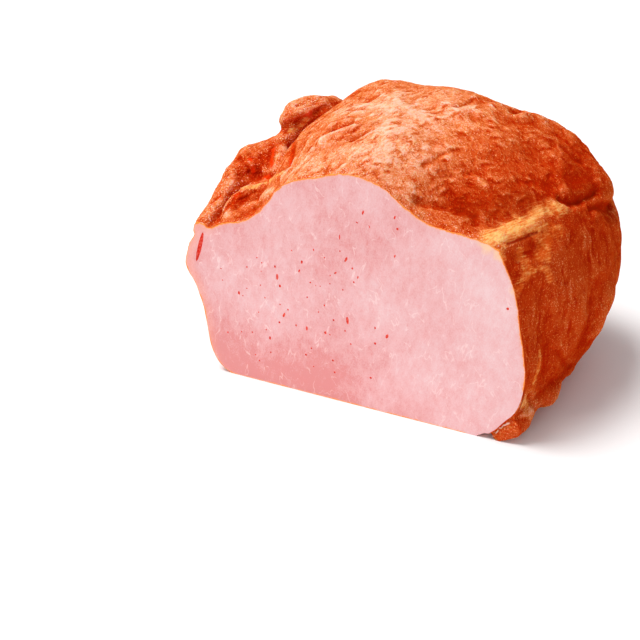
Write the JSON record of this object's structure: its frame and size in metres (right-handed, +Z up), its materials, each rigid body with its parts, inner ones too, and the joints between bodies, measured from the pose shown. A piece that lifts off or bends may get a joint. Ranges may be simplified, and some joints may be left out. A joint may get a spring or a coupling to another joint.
{
  "type": "smoked pork loaf",
  "caption": "Block of smoked, cooked pork with a wrinkled brown rind and folded fat, sliced flat at one end to show pale pink meat.",
  "frame": {"origin": "centre of the bounding box, at the flat underside", "axes": "+X to the right across the cut face, +Y from the cut face towards the uncut end, +Z up"},
  "size_m": [0.186, 0.125, 0.13],
  "materials": {
    "pork": "orange-brown smoked rind, moist and wrinkled, with a pale pink cut face"
  },
  "bodies": {
    "root": {"pork_loaf": "pork"}
  },
  "joints": []
}
